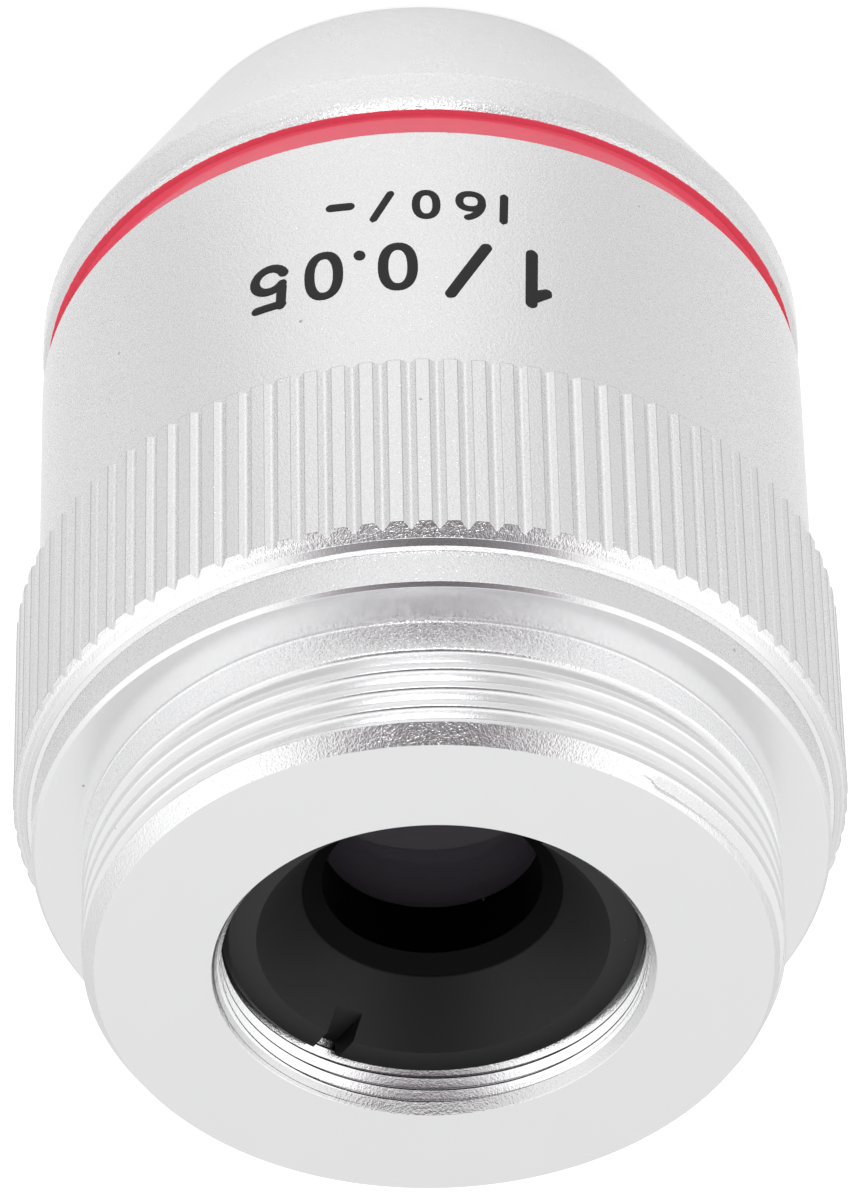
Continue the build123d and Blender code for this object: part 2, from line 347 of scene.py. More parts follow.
def satin_chrome(name, smooth=None, bright=None, painted_shade=None, paint=None):
    """Blasted chrome with a sparkling grain and a few specks of dust.

    Faces across the axis are turned smooth after blasting. Other parts may be smooth, others lighter by painted light
    or darker by painted shade, and paint may cover one.
    """
    finish = settings().finish
    chrome = finish.chrome
    material, start = new_material(name)
    place = start.node("ShaderNodeTexCoord", output=3)
    across = start.node("ShaderNodeTexCoord", output=1).axes()[2].math("ABSOLUTE")
    ends, bevels = across.between(0.90, 0.97), across.between(0.30, 0.50)
    blasted = (1 - ends) * (1 - bevels * 0.4)
    if smooth:
        blasted = blasted * (1 - smooth(place) * 0.85)
    grain = noise(start, place, finish.grain, 1.0)
    fine = noise(start, place, finish.grain * 0.45, 0.0)
    cloud = noise(start, place, 2.4 * MM)
    dust = specks(start, place, finish.dust_gap, 0.16)
    relief = (grain * 0.65 + fine * 0.35) * (0.04 + blasted * 0.96) + dust * 0.5
    normal = start.node("ShaderNodeBump", {"Height": relief, "Strength": 1.0, "Distance": finish.grain_depth})
    rough = finish.satin + cloud * 0.06 + (0.05 + (grain - 0.5) * 0.12) * blasted
    light = 0.5 + (grain.between(0.3, 0.7) - 0.5) * blasted
    tone = light.mix(opaque(chrome, 0.985), opaque(chrome, 1.015))
    # Painted light: where this mask says, the chrome's colour is made lighter, as a painted highlight.
    if bright:
        tone = bright(place).mix(tone, opaque(chrome, 1.12))
    # Painted shade: where this mask says, the chrome's colour is made darker.
    if painted_shade:
        tone = painted_shade(place).mix(tone, opaque(chrome, 0.68))
    tone = (dust * 0.6).mix(tone, grey(0.25))
    metal = 1.0
    if paint:
        mask = paint(place)
        tone = mask.mix(tone, opaque(finish.enamel))
        rough = rough * (1 - mask) + mask * 0.12
        metal = 1 - mask
    surface(start, {"Base Color": tone, "Metallic": metal, "Roughness": rough, "Normal": normal})
    return material


def glossy_enamel():
    """Baked enamel, a little uneven, with a clear shine."""
    material, start = new_material("red enamel")
    place = start.node("ShaderNodeTexCoord", output=3)
    red = settings().finish.enamel
    ripple = noise(start, place, 0.9 * MM, 1.0)
    tone = ripple.mix(opaque(red, 0.9), opaque(red))
    normal = start.node("ShaderNodeBump", {"Height": ripple, "Strength": 0.4, "Distance": 0.02 * MM})
    surface(start, {"Base Color": tone, "Roughness": 0.12 + ripple * 0.06, "Normal": normal, "IOR": 1.52,
                    "Coat Weight": 1.0})
    return material


def anodised_black():
    """Black anodised metal with a fine grain and a little dust. The lip inside is left darker."""
    material, start = new_material("black anodising")
    place = start.node("ShaderNodeTexCoord", output=3)
    grain = noise(start, place, 0.06 * MM, 1.0)
    dust = specks(start, place, 0.8 * MM, 0.2)
    lip = 1 - place.radius().between(3.74 * MM, 3.80 * MM)
    tone = lip.mix(opaque(settings().finish.black), grey(0.006))
    tone = dust.mix(tone, grey(0.35))
    normal = start.node("ShaderNodeBump", {"Height": grain, "Strength": 0.5, "Distance": 0.004 * MM})
    surface(start, {"Base Color": tone, "Metallic": lip, "Roughness": 0.42 + grain * 0.12, "Normal": normal,
                    "Specular IOR Level": 0.3})
    return material


def coated_glass():
    """Lens glass with a dark violet coating."""
    material, start = new_material("coated glass")
    place = start.node("ShaderNodeTexCoord", output=3)
    film = noise(start, place, 3.0 * MM, 1.0)
    tint = settings().finish.coating
    tone = film.mix(opaque(tint, 0.9), opaque(tint))
    surface(start, {"Base Color": tone, "Roughness": 0.02 + film * 0.02, "IOR": 1.22, "Transmission Weight": 0.9})
    return material


def charcoal_paint():
    """Dull paint of the figures."""
    material, start = new_material("charcoal paint")
    place = start.node("ShaderNodeTexCoord", output=3)
    black = settings().finish.paint
    lumps = noise(start, place, 0.12 * MM)
    tone = lumps.mix(opaque(black, 0.7), opaque(black, 1.5))
    normal = start.node("ShaderNodeBump", {"Height": lumps, "Strength": 0.5, "Distance": 0.01 * MM})
    surface(start, {"Base Color": tone, "Roughness": 0.45 + lumps * 0.2, "Normal": normal,
                    "Specular IOR Level": 0.35})
    return material


def turned_metal(name, rgb, roughness):
    """Plain turned metal, for the pieces inside."""
    material, start = new_material(name)
    place = start.node("ShaderNodeTexCoord", output=3)
    marks = noise(start, place, 0.15 * MM)
    normal = start.node("ShaderNodeBump", {"Height": marks, "Strength": 0.5, "Distance": 0.005 * MM})
    tone = marks.mix(opaque(rgb, 0.85), opaque(rgb))
    surface(start, {"Base Color": tone, "Metallic": 1.0, "Roughness": roughness + marks * 0.1, "Normal": normal})
    return material


def rounded(corners, steps=3, hold=0.012 * MM, closed=True):
    """An outline with its corners rounded, from (across, up, radius) corners.

    A point is kept a little way beyond each arc, so that the flats beside it stay flat when shaded.
    """
    points = []
    count = len(corners)
    for number, (across, up, radius) in enumerate(corners):
        here = Vector((across, up))
        ends = not closed and number in (0, count - 1)
        if ends or not radius:
            points.append(tuple(here))
            continue
        back = (Vector(corners[number - 1][:2]) - here).normalized()
        on = (Vector(corners[(number + 1) % count][:2]) - here).normalized()
        half = back.angle(on) / 2
        reach = radius / math.tan(half)
        centre = here + (back + on).normalized() * radius / math.sin(half)
        start = here + back * reach - centre
        side = math.copysign(1, back.x * on.y - back.y * on.x)
        if hold:
            points.append(tuple(here + back * (reach + hold)))
        for step in range(steps + 1):
            angle = -side * (math.pi - 2 * half) * step / steps
            swung = Matrix.Rotation(angle, 2) @ start
            points.append(tuple(centre + swung))
        if hold:
            points.append(tuple(here + on * (reach + hold)))
    return points


def finished(name, mesh, materials, slot, *nodes):
    """Merges and smooths a mesh, and makes it a piece that stands for the named solids."""
    work = bmesh.new()
    work.from_mesh(mesh)
    bmesh.ops.remove_doubles(work, verts=work.verts, dist=MERGE)
    loose = [edge for edge in work.edges if not edge.link_faces]
    bmesh.ops.delete(work, geom=loose, context="EDGES")
    lone = [vert for vert in work.verts if not vert.link_faces]
    bmesh.ops.delete(work, geom=lone, context="VERTS")
    bmesh.ops.recalc_face_normals(work, faces=work.faces)
    for face in work.faces:
        face.smooth = True
    work.to_mesh(mesh)
    work.free()
    mesh.set_sharp_from_angle(angle=SHARP)
    mesh.materials.clear()
    for material in materials:
        mesh.materials.append(material)
    piece = bpy.data.objects.new(name, mesh)
    bpy.context.scene.collection.objects.link(piece)
    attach(piece, "root")
    if nodes:
        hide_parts(*nodes)
    return piece


def skin(name, columns):
    """A mesh over columns of points round closed sections, one column beside the next."""
    grid = np.array(columns, dtype=float)
    around, along = grid.shape[:2]
    faces = [
        (i * along + k, (i + 1) * along + k, (i + 1) * along + (k + 1) % along, i * along + (k + 1) % along)
        for i in range(around - 1)
        for k in range(along)
    ]
    mesh = bpy.data.meshes.new(name)
    mesh.from_pydata(grid.reshape(-1, 3).tolist(), [], faces)
    return mesh


def column(section, angle):
    """The points of a half section at an angle about the axis."""
    return [(radius * math.cos(angle), radius * math.sin(angle), height) for radius, height in section]


def turned(name, section, segments=256):
    """A mesh turned about the optical axis from a closed half section."""
    return skin(name, [column(section, TURN * step / segments) for step in range(segments + 1)])


def groove_profile(pitch, depth, crest, corner, root):
    """One V groove of a thread with rounded corners, as (share of the pitch from its centre, share of the depth)."""
    mouth = (pitch - crest) / 2
    outline = rounded([
        (-pitch / 2, 0, 0),
        (-mouth, 0, corner),
        (0, depth, root),
        (mouth, 0, corner),
        (pitch / 2, 0, 0),
    ], steps=4, hold=0, closed=False)
    return [(across / pitch, deep / depth) for across, deep in outline[1:-1]]


class Helix:
    """A thread as a height field: how deep it is cut at an angle and a height."""

    def __init__(self, pitch, depth, root, at_angle, bite, run_out, profile):
        self.pitch = pitch
        self.depth = depth
        self.root = root
        self.at_angle = at_angle
        self.bite = bite
        self.run_out = run_out
        self.profile = profile

    def shift(self, angle):
        """How far the groove has risen at an angle."""
        return self.root + self.pitch * (angle - self.at_angle) / TURN

    def rows(self, angle, low, high):
        """Heights that follow the groove, kept between two heights. Where nothing is cut, they stay level."""
        first = math.floor((low - self.root) / self.pitch) - 1
        last = math.ceil((high - self.root) / self.pitch) + 1
        heights = []
        for number in range(first, last + 1):
            centre = self.shift(angle) + self.pitch * number
            centre = min(max(centre, self.bite[0]), self.run_out[1])
            heights += [centre + self.pitch * across for across, _ in self.profile]
        return [min(max(height, low), high) for height in heights]

    def cut(self, angle, height):
        """Depth of the thread at an angle and a height."""
        turns = (height - self.shift(angle)) / self.pitch
        number = round(turns)
        centre = self.shift(angle) + number * self.pitch
        across, deep = zip(*self.profile)
        full = ramp(centre, *self.bite) * (1 - ramp(centre, *self.run_out))
        return self.depth * float(np.interp(turns - number, across, deep)) * full


def ramp(value, low, high):
    """Rises smoothly from nothing to one."""
    part = min(max((value - low) / (high - low), 0), 1)
    return part * part * (3 - 2 * part)


class OBJECTIVE_OT_mounting_end(Operator):
    """Cut the mounting end with its outer and inner threads"""

    bl_idname = "objective.mounting_end"
    bl_label = "Mounting end"

    def execute(self, context):
        size = settings().mount
        lip_h = settings().sleeve.lip_h
        top = mount_high.z
        outer = Helix(size.pitch, size.depth, size.first_root, FRONT, (size.thread_start, size.thread_full),
                      (size.thread_end, size.thread_end + size.end_fade),
                      groove_profile(size.pitch, size.depth, size.crest, size.corner, size.root_round))
        inner = Helix(size.inner_pitch, size.inner_depth, size.inner_root, BACK, (0, size.inner_pitch),
                      (top, top + size.inner_pitch),
                      groove_profile(size.inner_pitch, size.inner_depth, size.inner_crest, size.inner_round,
                                     size.inner_round))
        lead_slope = size.lead_w / (top - thread_h)
        skim = 0.012 * MM
        mouth = top - size.mouth_bevel

        def outside(angle, height):
            plain = thread_r - max(0, height - thread_h) * lead_slope
            return min(plain, thread_r - outer.cut(angle, height))

        def inside(angle, height):
            plain = size.bore_r + max(0, height - mouth)
            return max(plain, size.bore_r + inner.cut(angle, height))

        shoulder = rounded([
            (thread_r, size.neck_h, 0),
            (thread_r, size.crevice_h, 0),
            (thread_r - size.crevice_depth, size.crevice_h / 2, 0),
            (thread_r, 0, 0),
            (size.collar_r - size.edge_w, 0, 0.02 * MM),
            (size.collar_r, -size.edge_h, BROKEN_EDGE),
            (size.collar_r, sleeve_high.z + lip_h + size.foot_h, BROKEN_EDGE),
            (foot_r, sleeve_high.z + lip_h, 0),
            (foot_r, sleeve_high.z, 0),
            (size.spigot_r, sleeve_high.z, 0),
            (size.spigot_r, mount_low.z, 0),
            (size.tube_thread_r, mount_low.z, 0),
            (size.tube_thread_r, mount_low.z + size.tube_thread_h, 0),
            (size.seat_r, mount_low.z + size.tube_thread_h, 0),
            (size.seat_r, mount_low.z + size.tube_thread_h + size.seat_h, 0),
            (size.bore_r, mount_low.z + size.tube_thread_h + size.seat_h, 0),
            (size.bore_r, 0, 0),
        ], closed=False)
        columns = []
        segments = 288
        for step in range(segments + 1):
            angle = BACK + TURN * step / segments
            bored, cut = angle - TURN / 2, angle - TURN
            bore_rows = inner.rows(bored, size.inner_start, mouth) + inner.rows(bored, mouth, top - skim)
            lead_rows = outer.rows(cut, thread_h, top - skim) + outer.rows(cut, size.neck_h, thread_h)
            section = list(shoulder)
            section += [(inside(bored, height), height) for height in bore_rows]
            section += [(inside(bored, top - skim) + skim, top)]
            section += [(outside(cut, top - skim) - skim, top)]
            section += [(outside(cut, height), height) for height in sorted(lead_rows, reverse=True)]
            columns.append(column(section, angle))

        def in_bore(place):
            """One in the bore and on the bevel at its mouth, nothing outside."""
            edge = size.bore_r + size.mouth_bevel
            return 1 - place.radius().between(edge - 3 * skim, edge)

        def on_bevel(place):
            """One above the height where the bevel at the mouth begins."""
            return place.height().between(mouth, mouth + skim)

        def polished(place):
            """The threads and the shoulder's edge."""
            height = place.height()
            thread = height.between(size.thread_start, size.thread_full)
            thread = thread * (1 - height.between(thread_h, thread_h + skim))
            edge = height.between(-size.edge_h - skim, -size.edge_h + skim) * (1 - height.between(0, skim))
            return (thread + edge) * (1 - in_bore(place) * 0.4)

        def lighter(place):
            """Painted light: makes the bore and the neck below the thread lighter, where shade falls."""
            height = place.height()
            neck = height.between(0, 2 * skim) * (1 - height.between(size.thread_start, size.thread_full))
            inner_side = in_bore(place)
            return inner_side * (1 - on_bevel(place)) + (1 - inner_side) * neck

        def mouth_bevel(place):
            """Painted shade on the bevel at the mouth of the bore."""
            return in_bore(place) * on_bevel(place) * 0.6

        finish = satin_chrome("chrome mounting end", smooth=polished, bright=lighter, painted_shade=mouth_bevel)
        finished("mounting_end", skin("mounting_end", columns), [finish], "satin_chrome", "mount_ring")
        return {"FINISHED"}


def knurl_tree():
    """A tree that repeats one groove of the knurl round the axis and joins the copies."""
    tree = bpy.data.node_groups.new("Knurl", "GeometryNodeTree")
    sockets = (
        ("Geometry", "INPUT", "NodeSocketGeometry"),
        ("Grooves", "INPUT", "NodeSocketInt"),
        ("First groove", "INPUT", "NodeSocketFloat"),
        ("Merge distance", "INPUT", "NodeSocketFloat"),
        ("Finish", "INPUT", "NodeSocketMaterial"),
        ("Geometry", "OUTPUT", "NodeSocketGeometry"),
    )
    for name, side, kind in sockets:
        tree.interface.new_socket(name=name, in_out=side, socket_type=kind)
    start = Socket(tree)
    given = tree.nodes.new("NodeGroupInput")
    one, grooves, first, merge, finish = (Socket(tree, given.outputs[number]) for number in range(5))
    index = start.node("GeometryNodeInputIndex")
    turn = index * TURN / grooves + first
    angles = start.node("ShaderNodeCombineXYZ", {"Z": turn})
    points = start.node("GeometryNodePoints", {"Count": grooves})
    copies = start.node("GeometryNodeInstanceOnPoints", {"Points": points, "Instance": one, "Rotation": angles})
    real = start.node("GeometryNodeRealizeInstances", {"Geometry": copies})
    joined = start.node("GeometryNodeMergeByDistance", {"Geometry": real, "Distance": merge})
    dressed = start.node("GeometryNodeSetMaterial", {"Geometry": joined, "Material": finish})
    start.node("NodeGroupOutput", {"Geometry": dressed})
    return tree


def set_input(modifier, name, value):
    """Sets a named input of a geometry modifier."""
    for item in modifier.node_group.interface.items_tree:
        if item.in_out == "INPUT" and item.name == name:
            modifier[item.identifier] = value


class OBJECTIVE_OT_knurled_sleeve(Operator):
    """Repeat one groove of the knurl round the sleeve"""

    bl_idname = "objective.knurled_sleeve"
    bl_label = "Knurled sleeve"

    def execute(self, context):
        size = settings().sleeve
        pitch = TURN * knurl_r / size.grooves
        half = pitch / 2
        mouth = size.groove_w / 2
        profile = rounded([
            (-half, 0, 0),
            (-mouth, 0, size.crest_round),
            (0, size.groove_depth, size.root_round),
            (mouth, 0, size.crest_round),
            (half, 0, 0),
        ], closed=False)
        top = sleeve_high.z
        knurl_end = top - size.knurl_h
        lip_r = foot_r + 0.005 * MM
        columns = []
        for across, depth in profile:
            here_r = knurl_r - depth
            bevel_end = top - (here_r - (knurl_r - size.edge_w)) * size.edge_h / size.edge_w
            section = rounded([
                (size.bore_r, top, 0),
                (lip_r, top, 0),
                (lip_r, top + size.lip_h, 0),
                (knurl_r - size.edge_w, top, 0),
                (here_r, bevel_end, BROKEN_EDGE),
                (here_r, knurl_end, 0.05 * MM),
                (barrel_r, knurl_end, 0.05 * MM),
                (barrel_r, sleeve_low.z, 0.04 * MM),
                (size.bore_r, sleeve_low.z, 0),
            ], steps=2)
            columns.append(column(section, across / knurl_r))
        sector = bpy.data.objects.new("knurl groove", skin("knurl groove", columns))
        context.scene.collection.objects.link(sector)
        modifier = sector.modifiers.new("Knurl", "NODES")
        modifier.node_group = knurl_tree()

        def lip(place):
            """The smooth lip above the knurl."""
            return place.height().between(top - 0.03 * MM, top - 0.01 * MM)

        def below(place, low, high):
            """From nothing to one between two depths, in millimetres, under the crests of the knurl."""
            return (knurl_r - place.radius()).between(low * MM, high * MM)

        def roots(place):
            """Painted highlight along the bottoms of the grooves."""
            return below(place, 0.100, 0.118) * (1 - below(place, 0.16, 0.20))

        def crest_edge_shade(place):
            """Painted shade: a thin dark line along each edge of a crest."""
            return below(place, 0.001, 0.004) * (1 - below(place, 0.012, 0.022))

        finish = satin_chrome("chrome sleeve", smooth=lip, bright=roots, painted_shade=crest_edge_shade)
        set_input(modifier, "Grooves", size.grooves)
        set_input(modifier, "First groove", size.groove_turn)
        set_input(modifier, "Merge distance", MERGE)
        set_input(modifier, "Finish", finish)
        context.view_layer.update()
        evaluated = sector.evaluated_get(context.evaluated_depsgraph_get())
        mesh = bpy.data.meshes.new_from_object(evaluated)
        sector.modifiers.clear()
        bpy.data.objects.remove(sector)
        finished("knurled_sleeve", mesh, [finish], "satin_chrome", "barrel_sleeve")
        return {"FINISHED"}


class OBJECTIVE_OT_nose(Operator):
    """Turn the nose with its bevelled rim, land and taper"""

    bl_idname = "objective.nose"
    bl_label = "Nose"

    def execute(self, context):
        size = settings().nose
        rim = band_low.z
        section = rounded([
            (size.bore_r, nose_high.z, 0),
            (size.spigot_r, nose_high.z, 0),
            (size.spigot_r, rim, 0),
            (barrel_r - size.rim_w, rim, 0.02 * MM),
            (barrel_r, rim - size.rim_h, size.rim_round),
            (barrel_r, rim - size.land_h, size.land_round),
            (size.tip_r, nose_low.z, size.tip_round),
            (size.bore_r, nose_low.z, 0.08 * MM),
        ], steps=5)

        def paint(place):
            """The band's paint on the rim, with a ragged edge."""
            ragged = (noise(place, place, 0.12 * MM) - 0.5) * (0.06 * MM)
            edge = rim - size.paint_h
            outer_side = place.radius().between(size.spigot_r + 0.3 * MM, size.spigot_r + 0.5 * MM)
            return (place.height() + ragged).between(edge, edge + 0.02 * MM) * outer_side

        def rim_painted_shade(place):
            """Painted shade that darkens the glint on the rounded rim in front of the band."""
            return place.height().between(rim - size.rim_h * 1.1, rim - size.rim_h * 0.9) * 0.25

        finish = satin_chrome("chrome nose", painted_shade=rim_painted_shade, paint=paint)
        finished("nose", turned("nose", section), [finish], "satin_chrome", "nose_cone")
        return {"FINISHED"}


class OBJECTIVE_OT_colour_band(Operator):
    """Turn the enamelled band, which is a little hollow between its edges"""

    bl_idname = "objective.colour_band"
    bl_label = "Colour band"

    def execute(self, context):
        low, high, outer = band_low.z, band_high.z, band_high.y
        inner = settings().sleeve.bore_r
        hollow = settings().nose.hollow
        steps = 8
        dish = []
        for step in range(steps + 1):
            part = step / steps
            dish.append((outer + hollow * (2 * part - 1) ** 4, high + (low - high) * part))
        mesh = turned("colour_band_enamel", [(inner, high), *dish, (inner, low)])
        finished("colour_band_enamel", mesh, [glossy_enamel()], "red_enamel", "colour_band")
        return {"FINISHED"}


def on_barrel(across, height, lift=0.0):
    """A point on the barrel, from its distance round the front and its height."""
    angle = FRONT + across / barrel_r
    radius = barrel_r + lift
    return (radius * math.cos(angle), radius * math.sin(angle), height)


def round_end(end, inner, width, steps=5):
    """The places along a stroke's rounded end, each with its share of the stroke's width."""
    out = (end - inner).normalized()
    turns = [TURN / 4 * step / steps for step in range(1, steps + 1)]
    return [(end + out * width / 2 * math.sin(turn), math.cos(turn)) for turn in turns]


def stroke(work, path, width, relief, closed):
    """Adds a rounded stroke of paint along a path of (distance round, height) to a mesh."""
    path = [Vector(point) for point in path]
    places = [(point, 1.0) for point in path]
    if not closed:
        places = round_end(path[0], path[1], width)[::-1] + places + round_end(path[-1], path[-2], width)
    count = len(places)
    profile = [(-1, 0), (-0.86, 0.7), (-0.5, 1), (0, 1.1), (0.5, 1), (0.86, 0.7), (1, 0)]
    sunk = 0.03 * MM
    narrowest = 0.004 * MM
    loops = []
    for number, (point, part) in enumerate(places):
        before = places[number - 1 if closed or number else 0][0]
        after = places[(number + 1) % count if closed else min(number + 1, count - 1)][0]
        along = (after - before).normalized()
        side = Vector((-along.y, along.x)) * max(width / 2 * part, narrowest)
        loop = [work.verts.new(on_barrel(*(point + side * offset), relief * lift)) for offset, lift in profile]
        loop += [work.verts.new(on_barrel(*(point + side * offset), -sunk)) for offset in (1, 0, -1)]
        loops.append(loop)
    corners = len(loops[0])
    for first, second in zip(loops, loops[1:] + ([loops[0]] if closed else [])):
        for k in range(corners):
            work.faces.new((first[k], second[k], second[(k + 1) % corners], first[(k + 1) % corners]))
    if not closed:
        work.faces.new(loops[0])
        work.faces.new(loops[-1][::-1])


def line(start, end, pieces=8):
    """A straight path between two points."""
    start, end = Vector(start), Vector(end)
    return [start.lerp(end, step / pieces) for step in range(pieces + 1)]


def arc(centre, across, up, begin, sweep, pieces=20):
    """A path along an oval, from an angle in degrees through a sweep."""
    turns = [math.radians(begin + sweep * step / pieces) for step in range(pieces + 1)]
    return [Vector((centre[0] + across * math.cos(turn), centre[1] + up * math.sin(turn))) for turn in turns]


def oval(centre, across, up, pieces=36):
    """The closed path of a figure nought, a little fuller than an ellipse."""
    full = 0.86
    path = []
    for step in range(pieces):
        turn = TURN * step / pieces
        wide = math.copysign(abs(math.cos(turn)) ** full, math.cos(turn))
        high = math.copysign(abs(math.sin(turn)) ** full, math.sin(turn))
        path.append(Vector((centre[0] + across * wide, centre[1] + up * high)))
    return path


def at(angle, height):
    """A place on the barrel, from its angle off the front in degrees and its height."""
    return (math.radians(angle) * barrel_r, height)


def large_figures(size):
    """The large figures, each a list of strokes as (path, width, closed)."""
    top, tall, wide = size.large_top, size.large_h, size.large_w
    foot = top - tall
    middle = top - tall / 2
    return {
        "figure_one": [
            (line(at(-16.4, top + 0.35 * MM), at(-16.7, foot)), wide * 1.1, False),
            (line(at(-16.3, top + 0.27 * MM), at(-18.9, top - 0.12 * MM)), wide * 0.8, False),
            (line(at(-16.9, top - 0.02 * MM), at(-18.8, top - 0.20 * MM)), wide * 0.9, False),
        ],
        "figure_slash": [(line(at(-9.9, foot), at(-4.6, top + 0.30 * MM)), wide * 1.05, False)],
        "figure_nought": [(oval(at(3.0, middle), 0.43 * MM, tall / 2), wide * 0.92, True)],
        "figure_point": [(line(at(8.5, foot + 0.27 * MM), at(8.6, foot + 0.20 * MM), 2), wide, False)],
        "figure_second_nought": [(oval(at(13.9, middle), 0.43 * MM, tall / 2), wide * 0.92, True)],
        "figure_five": [
            (line(at(24.3, top - 0.10 * MM), at(20.4, top - 0.10 * MM)), wide * 0.95, False),
            (line(at(20.5, top - 0.06 * MM), at(20.3, top - 0.80 * MM)), wide * 0.95, False),
            (arc(at(22.2, foot + 0.46 * MM), 0.47 * MM, 0.46 * MM, 145, -305), wide * 0.95, False),
        ],
    }


def small_figures(size):
    """The small figures, each a list of strokes as (path, width, closed)."""
    top, tall, wide = size.small_top, size.small_h, size.small_w
    foot = top - tall
    middle = top - tall / 2
    return {
        "small_one": [(line(at(-12.6, top), at(-12.8, foot)), wide * 0.95, False)],
        "small_six": [
            (oval(at(-7.8, foot + 0.30 * MM), 0.33 * MM, 0.31 * MM, 24), wide * 0.9, True),
            (arc(at(-6.6, foot + 0.33 * MM), 0.58 * MM, 0.66 * MM, 175, -70), wide * 0.9, False),
        ],
        "small_nought": [(oval(at(-1.3, middle), 0.30 * MM, tall / 2, 28), wide * 0.9, True)],
        "small_slash": [(line(at(3.9, foot), at(6.4, top)), wide * 0.9, False)],
        "small_dash": [(line(at(9.9, foot + 0.34 * MM), at(12.7, foot + 0.29 * MM)), wide * 1.15, False)],
    }


class OBJECTIVE_OT_figures(Operator):
    """Paint the figures on the front of the barrel"""

    bl_idname = "objective.figures"
    bl_label = "Figures"

    def execute(self, context):
        size = settings().figures
        paint = charcoal_paint()
        for name, strokes in {**large_figures(size), **small_figures(size)}.items():
            work = bmesh.new()
            for path, width, closed in strokes:
                stroke(work, path, width, size.relief, closed)
            mesh = bpy.data.meshes.new(name)
            work.to_mesh(mesh)
            work.free()
            finished(name, mesh, [paint], "black_anodised")
        return {"FINISHED"}


class OBJECTIVE_OT_lens(Operator):
    """Grind the lens that shows at the bottom of the funnel"""

    bl_idname = "objective.lens"
    bl_label = "Back lens"

    def execute(self, context):
        radius = crown_high.y
        back, front = crown_high.z, crown_low.z
        curve_back, curve_front = 22 * MM, 16 * MM
        steps = 24
        cap = []
        for step in range(steps + 1):
            out = radius * step / steps
            cap.append((out, back - curve_back + math.sqrt(curve_back ** 2 - out ** 2)))
        base = []
        for step in range(steps, -1, -1):
            out = radius * step / steps
            base.append((out, front + curve_front - math.sqrt(curve_front ** 2 - out ** 2)))
        finished("back_lens", turned("back_lens", cap + base, 128), [coated_glass()], "coated_glass", "back_crown_lens")
        return {"FINISHED"}


class OBJECTIVE_OT_inner_pieces(Operator):
    """Give the solids that stay their finishes"""

    bl_idname = "objective.inner_pieces"
    bl_label = "Inner pieces"

    def execute(self, context):
        slots = {part["node"]: part["material_slot"] for part in frame["record"]["subparts"]}
        finishes = {
            "black_anodised": anodised_black(),
            "coated_glass": coated_glass(),
            "brass": turned_metal("turned brass", (0.78, 0.60, 0.25), 0.25),
            "steel": turned_metal("dark steel", (0.20, 0.20, 0.21), 0.35),
            "satin_chrome": turned_metal("chrome inside", (0.78, 0.78, 0.79), 0.30),
            "red_enamel": glossy_enamel(),
        }
        for name, node in frame["nodes"].items():
            node.data.materials.clear()
            node.data.materials.append(finishes[slots[name]])
        return {"FINISHED"}


def floor_material():
    """A pale floor that shows white around the object and keeps its shadow.

    Metal and glass see soft pools of light on it.
    """
    material, start = new_material("pale floor")
    camera, glossy, through = (
        start.node("ShaderNodeLightPath", output=f"Is {ray} Ray") for ray in ("Camera", "Glossy", "Transmission"))
    across, deep, _ = start.node("ShaderNodeTexCoord", output=3).axes()

    def pool(at_x, at_y, squash, inner, outer):
        """A soft pool of light on the floor."""
        x, y = across - at_x * MM, (deep - at_y * MM) * squash
        return 1 - (x * x + y * y).math("SQRT").between(inner * MM, outer * MM)

    in_front = pool(4, -34, 0.6, 10, 21)
    around = pool(0, 0, 1, 13, 19)
    behind = pool(0, 26, 0.8, 16, 32)
    beside = pool(-27, 4, 1, 3, 24) + pool(27, 4, 1, 3, 24)
    light = in_front * 0.22 + around * 0.22 + behind * 0.18 + beside * 0.11
    paper = start.node("ShaderNodeBsdfDiffuse", {"Color": grey(settings().stage.floor)})
    glow = start.node("ShaderNodeEmission", {"Color": grey(1), "Strength": camera * 0.5 + (glossy + through) * light})
    both = start.node("ShaderNodeAddShader", {0: paper, 1: glow})
    start.node("ShaderNodeOutputMaterial", {"Surface": both})
    return material


def studio_world():
    """An even white studio. Metal sees a dark patch in front, brighter sides and a bright top."""
    stage = settings().stage
    world = bpy.data.worlds.new("studio")
    world.use_nodes = True
    tree = world.node_tree
    tree.nodes.clear()
    start = Socket(tree)
    camera = start.node("ShaderNodeLightPath", output="Is Camera Ray")
    way = start.node("ShaderNodeTexCoord")

    def patch(round_front, up, inner, outer):
        """A soft round patch of the sky, by its bearing from the front, its elevation and its two radii."""
        bearing, rise = math.radians(round_front), math.radians(up)
        toward = (math.sin(bearing) * math.cos(rise), -math.cos(bearing) * math.cos(rise), math.sin(rise))
        aligned = start.node("ShaderNodeVectorMath", {0: way, 1: toward}, output=1, operation="DOT_PRODUCT")
        return aligned.between(math.cos(math.radians(outer)), math.cos(math.radians(inner)))

    dark = 1 - (1 - patch(-15, 29, 13, 26) * 0.77) * (1 - patch(8, 29, 13, 26) * 0.77)
    sides = patch(66, 20, 18, 36) + patch(-66, 20, 18, 36)
    top, behind = patch(0, 96, 14, 34), patch(180, 14, 10, 34)
    level = stage.sky * (1 - dark) + sides * 0.30 + top * 0.65 - behind * 0.25
    level = camera + (1 - camera) * level
    tint = (dark * (1 - camera)).mix(grey(1), (1, 0.86, 0.94, 1))
    ground = start.node("ShaderNodeBackground", {"Color": tint, "Strength": level})
    start.node("ShaderNodeOutputWorld", {"Surface": ground})
    return world


def soft_lamp(name, place, target, width, height, power):
    """A soft area lamp that points at a target."""
    lamp = bpy.data.lights.new(name, "AREA")
    lamp.shape = "RECTANGLE"
    lamp.size = width
    lamp.size_y = height
    lamp.energy = power
    holder = bpy.data.objects.new(name, lamp)
    holder.location = place
    holder.rotation_euler = (Vector(target) - Vector(place)).to_track_quat("-Z", "Y").to_euler()
    bpy.context.scene.collection.objects.link(holder)
    return holder


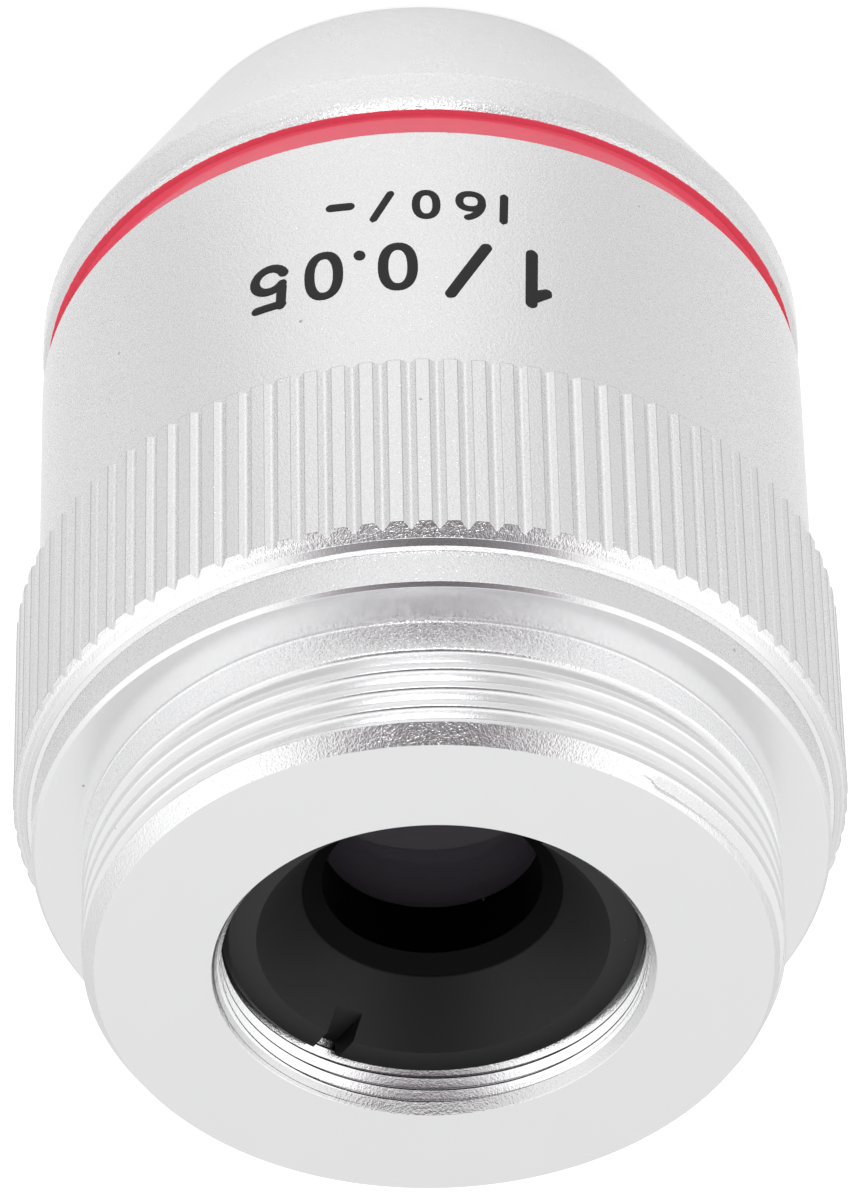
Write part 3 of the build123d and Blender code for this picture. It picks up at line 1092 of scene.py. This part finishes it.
class OBJECTIVE_OT_stage(Operator):
    """Set the floor, the lights and the camera"""

    bl_idname = "objective.stage"
    bl_label = "Stage"

    def execute(self, context):
        stage = settings().stage
        reach = 1.5
        mesh = bpy.data.meshes.new("floor")
        corners = [(-reach, -reach), (reach, -reach), (reach, reach), (-reach, reach)]
        mesh.from_pydata([(x, y, solids_low.z) for x, y in corners], [], [(0, 1, 2, 3)])
        mesh.materials.append(floor_material())
        floor = bpy.data.objects.new("floor", mesh)
        context.scene.collection.objects.link(floor)
        context.scene.world = studio_world()
        middle = (0, 0, (solids_low.z + solids_high.z) / 2)
        soft_lamp("front lamp", (10 * MM, -200 * MM, 0), middle, 90 * MM, 40 * MM, stage.lamp)
        view = bpy.data.cameras.new("camera")
        view.lens = stage.lens
        view.clip_start = 0.01
        view.clip_end = 10
        camera = bpy.data.objects.new("camera", view)
        tilt = Matrix.Rotation(math.pi / 2 - stage.view_down, 4, "X")
        roll = Matrix.Rotation(stage.view_roll, 4, "Z")
        camera.matrix_world = Matrix.Translation((0, -stage.camera_back, stage.camera_up)) @ tilt @ roll
        context.scene.collection.objects.link(camera)
        context.scene.camera = camera
        context.scene.view_settings.view_transform = "Standard"
        return {"FINISHED"}


class OBJECTIVE_PT_panel(Panel):
    """Lists the pieces and their sizes"""

    bl_label = "Objective"
    bl_idname = "OBJECTIVE_PT_panel"
    bl_space_type = "VIEW_3D"
    bl_region_type = "UI"
    bl_category = "Objective"

    def draw(self, context):
        for group in ("mount", "sleeve", "nose", "figures", "finish", "stage"):
            box = self.layout.box()
            part = getattr(settings(), group)
            for field in part.__annotations__:
                box.prop(part, field)
        for operator in operators:
            self.layout.operator(operator.bl_idname)


operators = (
    OBJECTIVE_OT_inner_pieces,
    OBJECTIVE_OT_mounting_end,
    OBJECTIVE_OT_knurled_sleeve,
    OBJECTIVE_OT_nose,
    OBJECTIVE_OT_colour_band,
    OBJECTIVE_OT_lens,
    OBJECTIVE_OT_figures,
    OBJECTIVE_OT_stage,
)
classes = (
    ObjectiveMount,
    ObjectiveSleeve,
    ObjectiveNose,
    ObjectiveFigures,
    ObjectiveFinish,
    ObjectiveStage,
    ObjectiveSettings,
    *operators,
    OBJECTIVE_PT_panel,
)


def register():
    """Adds the classes and the scene's settings."""
    for item in classes:
        bpy.utils.register_class(item)
    bpy.types.Scene.objective = PointerProperty(type=ObjectiveSettings)


def unregister():
    """Takes them away again."""
    del bpy.types.Scene.objective
    for item in reversed(classes):
        bpy.utils.unregister_class(item)


def main():
    """Builds every piece and the stage."""
    register()
    bpy.ops.objective.inner_pieces()
    bpy.ops.objective.mounting_end()
    bpy.ops.objective.knurled_sleeve()
    bpy.ops.objective.nose()
    bpy.ops.objective.colour_band()
    bpy.ops.objective.lens()
    bpy.ops.objective.figures()
    bpy.ops.objective.stage()


if __name__ == "__main__":
    main()
